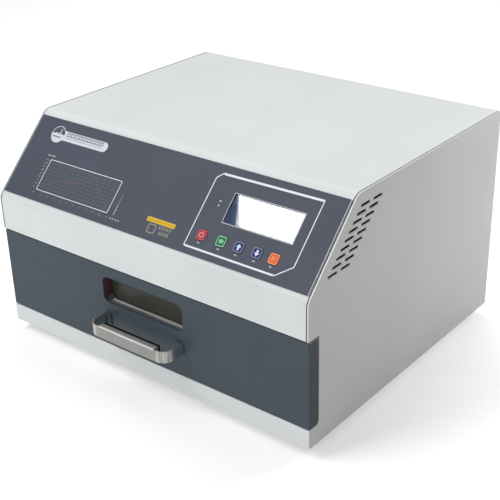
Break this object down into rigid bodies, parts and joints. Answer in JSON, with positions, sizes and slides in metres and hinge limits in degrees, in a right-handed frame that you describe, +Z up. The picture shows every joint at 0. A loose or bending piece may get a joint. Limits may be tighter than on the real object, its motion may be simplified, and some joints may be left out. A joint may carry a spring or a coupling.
{
  "type": "reflow oven",
  "caption": "Bench infrared reflow oven with a sloped control panel, a pull-out drawer with a window and a bar handle, and a rear exhaust.",
  "frame": {"origin": "middle of the bounding box's footprint, at the soles of the feet", "axes": "+X to the right along the front, +Y back into the oven, +Z up"},
  "size_m": [0.43, 0.4094, 0.254],
  "materials": {
    "white_paint": "satin powder coat",
    "side_paint": "satin powder coat",
    "grey_paint": "matt powder coat",
    "overlay_film": "matt printed film",
    "galvanised_steel": "satin",
    "bright_steel": "bright rolled",
    "brushed_nickel": "brushed",
    "ceramic_fibre": "felt",
    "black_plastic": "matt",
    "black_rubber": "matt",
    "circuit_board": "solder resist",
    "lcd_blue": "gloss",
    "clear_window": "clear",
    "smoked_glass": "smoked",
    "quartz": "frosted",
    "key_red": "satin",
    "key_green": "satin",
    "key_blue": "satin",
    "key_orange": "satin",
    "led_lens": "clear",
    "rocker_red": "gloss",
    "aluminium": "extruded",
    "motor_steel": "satin",
    "core_steel": "varnished laminations"
  },
  "bodies": {
    "housing": {"base_pan": "white_paint", "side_panel_left": "side_paint", "side_panel_right": "side_paint", "front_top_cover": "white_paint", "rear_panel": "white_paint", "foot_front_left": "black_rubber", "foot_front_right": "black_rubber", "foot_rear_left": "black_rubber", "foot_rear_right": "black_rubber", "control_overlay": "overlay_film", "lcd_window": "clear_window", "lcd_module": "lcd_blue", "heating_led": "led_lens", "cooling_led": "led_lens", "control_board": "circuit_board", "inner_frame_left": "galvanised_steel", "inner_frame_right": "galvanised_steel", "front_bulkhead": "galvanised_steel", "electronics_shelf": "galvanised_steel", "chamber_wall_left": "bright_steel", "chamber_wall_right": "bright_steel", "chamber_wall_rear": "bright_steel", "chamber_reflector": "bright_steel", "insulation_blanket": "ceramic_fibre", "heater_tube_1": "quartz", "heater_tube_2": "quartz", "heater_tube_3": "quartz", "heater_tube_4": "quartz", "thermocouple": "galvanised_steel", "circulation_motor": "motor_steel", "exhaust_fan_frame": "black_plastic", "exhaust_collar": "galvanised_steel", "power_inlet": "black_plastic", "switch_frame": "black_plastic", "power_board": "circuit_board", "mains_transformer": "core_steel", "heat_sink": "aluminium", "slide_outer_left": "galvanised_steel", "slide_outer_right": "galvanised_steel"},
    "drawer": {"drawer_front": "grey_paint", "window_frame": "bright_steel", "window_glass": "smoked_glass", "drawer_insulation": "ceramic_fibre", "drawer_inner_panel": "bright_steel", "door_gasket": "ceramic_fibre", "drawer_carcass": "galvanised_steel", "drawer_tray": "galvanised_steel", "handle": "brushed_nickel", "slide_inner_left": "galvanised_steel", "slide_inner_right": "galvanised_steel"},
    "slide_middle_left": {"slide_middle_left": "galvanised_steel"},
    "slide_middle_right": {"slide_middle_right": "galvanised_steel"},
    "circulation_impeller": {"circulation_impeller": "galvanised_steel"},
    "exhaust_rotor": {"exhaust_rotor": "black_plastic"},
    "power_rocker": {"power_rocker": "rocker_red"},
    "stop_key": {"stop_key": "key_red"},
    "start_key": {"start_key": "key_green"},
    "up_key": {"up_key": "key_blue"},
    "down_key": {"down_key": "key_blue"},
    "set_key": {"set_key": "key_orange"}
  },
  "joints": [
    {"name": "drawer_slide", "type": "slide", "parent": "housing", "child": "drawer", "axis": [0, -1, 0], "range_m": [0, 0.28]},
    {"name": "middle_rail_left_slide", "type": "slide", "parent": "housing", "child": "slide_middle_left", "axis": [0, -1, 0], "range_m": [0, 0.14]},
    {"name": "middle_rail_right_slide", "type": "slide", "parent": "housing", "child": "slide_middle_right", "axis": [0, -1, 0], "range_m": [0, 0.14]},
    {"name": "circulation_fan_spin", "type": "hinge", "parent": "housing", "child": "circulation_impeller", "pos_m": [0, -0.0033, 0.142], "axis": [0, 0, 1], "continuous": true},
    {"name": "exhaust_fan_spin", "type": "hinge", "parent": "housing", "child": "exhaust_rotor", "pos_m": [0, 0.1687, 0.107], "axis": [0, 1, 0], "continuous": true},
    {"name": "power_rocker_tilt", "type": "hinge", "parent": "housing", "child": "power_rocker", "pos_m": [0.15, 0.1832, 0.108], "axis": [-1, 0, 0], "range_deg": [0, 16]},
    {"name": "stop_key_press", "type": "slide", "parent": "housing", "child": "stop_key", "axis": [0, 0.7119, -0.7022], "range_m": [0, 0.0005], "stiffness_N_per_m": 1500},
    {"name": "start_key_press", "type": "slide", "parent": "housing", "child": "start_key", "axis": [0, 0.7119, -0.7022], "range_m": [0, 0.0005], "stiffness_N_per_m": 1500},
    {"name": "up_key_press", "type": "slide", "parent": "housing", "child": "up_key", "axis": [0, 0.7119, -0.7022], "range_m": [0, 0.0005], "stiffness_N_per_m": 1500},
    {"name": "down_key_press", "type": "slide", "parent": "housing", "child": "down_key", "axis": [0, 0.7119, -0.7022], "range_m": [0, 0.0005], "stiffness_N_per_m": 1500},
    {"name": "set_key_press", "type": "slide", "parent": "housing", "child": "set_key", "axis": [0, 0.7119, -0.7022], "range_m": [0, 0.0005], "stiffness_N_per_m": 1500}
  ],
  "couplings": [
    {"joint": "middle_rail_left_slide", "follows": "drawer_slide", "ratio": 0.5},
    {"joint": "middle_rail_right_slide", "follows": "drawer_slide", "ratio": 0.5}
  ]
}
